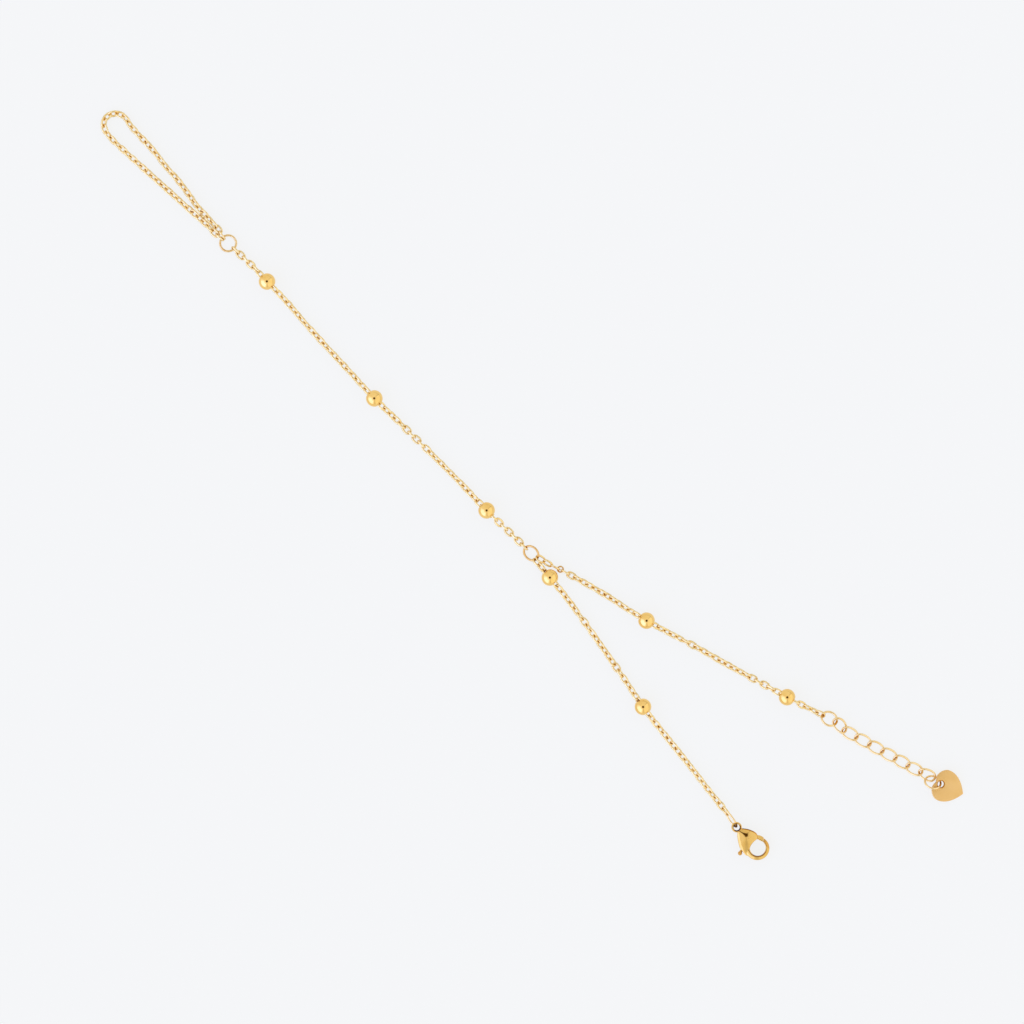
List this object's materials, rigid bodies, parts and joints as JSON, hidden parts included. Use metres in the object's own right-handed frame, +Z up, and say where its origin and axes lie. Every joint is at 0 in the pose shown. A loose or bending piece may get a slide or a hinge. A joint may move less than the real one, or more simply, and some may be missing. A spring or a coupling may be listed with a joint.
{
  "type": "hand chain",
  "caption": "Gold-tone hand chain with ball beads, a finger loop, a lobster clasp and an extender with a heart tag, lying open.",
  "frame": {"origin": "middle of the bounding box, on the surface that the chain lies on", "axes": "+X from the finger loop towards the clasp and the heart tag, +Y towards the extender arm, +Z up"},
  "size_m": [0.2052, 0.0397, 0.0031],
  "materials": {
    "polished_gold": "polished gold-tone plating on ball beads",
    "wire_gold": "bright gold-tone plating on wire links",
    "cast_gold": "smooth gold-tone plating on the clasp",
    "satin_gold": "satin gold-tone plating on the flat tag"
  },
  "bodies": {
    "chain": {"finger_loop_chain": "wire_gold", "finger_ring": "wire_gold", "hand_chain": "wire_gold", "bead_1": "polished_gold", "bead_2": "polished_gold", "bead_3": "polished_gold", "centre_ring": "wire_gold", "clasp_arm_chain": "wire_gold", "bead_4": "polished_gold", "bead_5": "polished_gold", "clasp_end_link": "wire_gold", "clasp_body": "cast_gold", "clasp_pin": "cast_gold", "extender_lead_chain": "wire_gold", "joining_ring": "wire_gold", "extender_arm_chain": "wire_gold", "bead_6": "polished_gold", "bead_7": "polished_gold", "extender_ring": "wire_gold", "extender_link_1": "wire_gold", "extender_link_2": "wire_gold", "extender_link_3": "wire_gold", "extender_link_4": "wire_gold", "extender_link_5": "wire_gold", "extender_link_6": "wire_gold", "extender_link_7": "wire_gold", "extender_link_8": "wire_gold", "heart_ring": "wire_gold", "heart_tag": "satin_gold"},
    "lever": {"clasp_lever": "cast_gold"}
  },
  "joints": [
    {"name": "clasp_lever_hinge", "type": "hinge", "parent": "chain", "child": "lever", "pos_m": [0.07988, -0.01594, 0.00115], "axis": [0, 0, -1], "range_deg": [0, 25], "stiffness_Nm_per_rad": 0.001, "springref_deg": -20.05}
  ]
}
